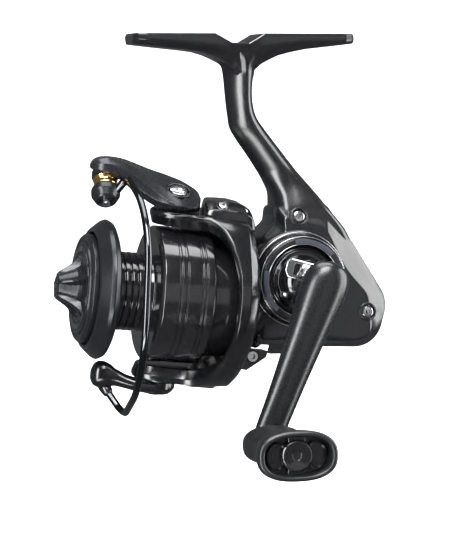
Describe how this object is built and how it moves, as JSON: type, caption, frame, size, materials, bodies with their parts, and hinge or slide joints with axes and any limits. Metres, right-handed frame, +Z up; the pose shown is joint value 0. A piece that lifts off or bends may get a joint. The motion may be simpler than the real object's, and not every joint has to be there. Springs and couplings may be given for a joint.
{
  "type": "spinning fishing reel",
  "caption": "Small open-face spinning reel with a split foot, folding crank, wire bail, rotor with two arms, skirted spool and front drag knob.",
  "frame": {"origin": "middle of the foot's flat top face, where the reel seats on the rod", "axes": "+X towards the spool and rod tip, +Y to the crank side, +Z up out of the foot's seat"},
  "size_m": [0.0902, 0.0846, 0.1091],
  "materials": {
    "body_plastic": "satin black graphite-filled plastic",
    "rotor_plastic": "satin graphite plastic",
    "arm_metal": "satin dark grey paint",
    "spool_gloss": "glossy black",
    "spool_satin": "satin black anodised",
    "lip_metal": "dark polished metal",
    "knob_rubber": "matte dark grey",
    "ring_blue": "blue-grey satin",
    "handle_grey": "satin graphite grey",
    "steel": "brushed",
    "chrome": "polished",
    "dark_wire": "polished dark nickel",
    "brass": "polished",
    "zinc": "die-cast grey",
    "inner_plastic": "moulded",
    "felt": "drag felt and fibre"
  },
  "bodies": {
    "frame": {"body_housing": "body_plastic", "side_cover": "body_plastic", "cover_screws": "chrome", "boss_ring": "ring_blue", "handle_bearing": "steel", "far_bearing": "steel", "front_collar": "zinc", "pinion_bearing": "steel", "bearing_retainer": "steel", "retainer_screws": "steel", "slider_rail": "steel", "oscillation_axle": "steel", "trip_ramp": "body_plastic", "trip_ramp_screw": "chrome", "pawl_pin": "steel"},
    "crank": {"drive_gear": "zinc", "handle_shaft": "steel", "far_cap": "handle_grey", "handle_hub": "handle_grey", "fold_block": "chrome", "oscillation_pinion": "zinc"},
    "handle": {"handle_arm": "handle_grey", "fold_pin": "steel", "knob_shaft": "steel"},
    "knob": {"handle_knob": "knob_rubber", "knob_insert": "knob_rubber"},
    "oscillator": {"oscillating_gear": "inner_plastic"},
    "shaft": {"main_shaft": "steel", "slider": "inner_plastic", "slider_screw": "steel", "click_wheel": "inner_plastic"},
    "spool": {"spool": "spool_gloss", "spool_lip": "lip_metal", "drag_washers": "felt", "washer_retainer": "steel", "click_pawl": "inner_plastic"},
    "drag": {"drag_knob": "spool_gloss", "drag_spring": "steel"},
    "drag_nut": {"drag_nut": "steel"},
    "rotor": {"rotor": "rotor_plastic", "pinion": "brass", "ratchet_wheel": "steel", "rotor_nut": "steel", "nut_retainer": "steel", "balance_weight": "zinc", "arm_cover_upper": "rotor_plastic", "arm_cover_lower": "rotor_plastic", "arm_cover_screws": "steel", "bail_spring": "steel"},
    "bail": {"bail_arm": "arm_metal", "bail_arm_screw": "chrome", "roller_pin": "steel", "wire_cone": "lip_metal", "bail_wire": "dark_wire", "bail_cam": "rotor_plastic", "bail_cam_screw": "steel"},
    "roller": {"line_roller": "brass"},
    "trip_lever": {"bail_trip_lever": "steel"},
    "antireverse_lever": {"antireverse_lever": "body_plastic"},
    "pawl": {"pawl": "steel"}
  },
  "joints": [
    {"name": "crank_spin", "type": "hinge", "parent": "frame", "child": "crank", "pos_m": [-0.0126, 0, -0.0642], "axis": [0, 1, 0], "continuous": true},
    {"name": "handle_fold", "type": "hinge", "parent": "crank", "child": "handle", "pos_m": [-0.0126, 0.027, -0.0642], "axis": [0.9205, 0, 0.3907], "range_deg": [0, 90]},
    {"name": "knob_spin", "type": "hinge", "parent": "handle", "child": "knob", "pos_m": [0.00381, 0.05, -0.10286], "axis": [0, 1, 0], "continuous": true},
    {"name": "rotor_spin", "type": "hinge", "parent": "frame", "child": "rotor", "pos_m": [0, 0, -0.07005], "axis": [0.9955, 0, 0.095], "continuous": true},
    {"name": "oscillation_spin", "type": "hinge", "parent": "frame", "child": "oscillator", "pos_m": [-0.02353, 0, -0.07086], "axis": [0, 1, 0], "continuous": true},
    {"name": "shaft_slide", "type": "slide", "parent": "frame", "child": "shaft", "axis": [0.9955, 0, 0.095], "range_m": [-0.003, 0.003]},
    {"name": "drag_slip", "type": "hinge", "parent": "shaft", "child": "spool", "pos_m": [0, 0, -0.07005], "axis": [0.9955, 0, 0.095], "continuous": true},
    {"name": "drag_knob_turn", "type": "hinge", "parent": "shaft", "child": "drag", "pos_m": [0, 0, -0.07005], "axis": [0.9955, 0, 0.095], "range_deg": [-180, 360]},
    {"name": "drag_nut_slide", "type": "slide", "parent": "drag", "child": "drag_nut", "axis": [0.9955, 0, 0.095], "range_m": [-0.0003, 0.0006]},
    {"name": "bail_flip", "type": "hinge", "parent": "rotor", "child": "bail", "pos_m": [0.02071, 0, -0.06807], "axis": [0.0943, -0.1219, -0.9881], "range_deg": [0, 100]},
    {"name": "roller_spin", "type": "hinge", "parent": "bail", "child": "roller", "pos_m": [0.03674, 0.00088, -0.0371], "axis": [0.1309, 0.6592, -0.7405], "continuous": true},
    {"name": "trip_slide", "type": "slide", "parent": "rotor", "child": "trip_lever", "axis": [-0.9955, 0, -0.095], "range_m": [0, 0.002]},
    {"name": "antireverse_turn", "type": "hinge", "parent": "frame", "child": "antireverse_lever", "pos_m": [-0.0099, 0, -0.0791], "axis": [1, 0, 0], "range_deg": [0, 12]},
    {"name": "pawl_swing", "type": "hinge", "parent": "frame", "child": "pawl", "pos_m": [0.00318, 0.0034, -0.07598], "axis": [0.9955, 0, 0.095], "range_deg": [-15, 0]}
  ],
  "couplings": [
    {"joint": "rotor_spin", "follows": "crank_spin", "ratio": 5.1429},
    {"joint": "oscillation_spin", "follows": "crank_spin", "ratio": -0.6},
    {"joint": "drag_nut_slide", "follows": "drag_knob_turn", "m_per_rad": 0.000095493},
    {"joint": "trip_slide", "follows": "bail_flip", "m_per_rad": 0.0011459},
    {"joint": "pawl_swing", "follows": "antireverse_turn", "ratio": -1.2}
  ]
}
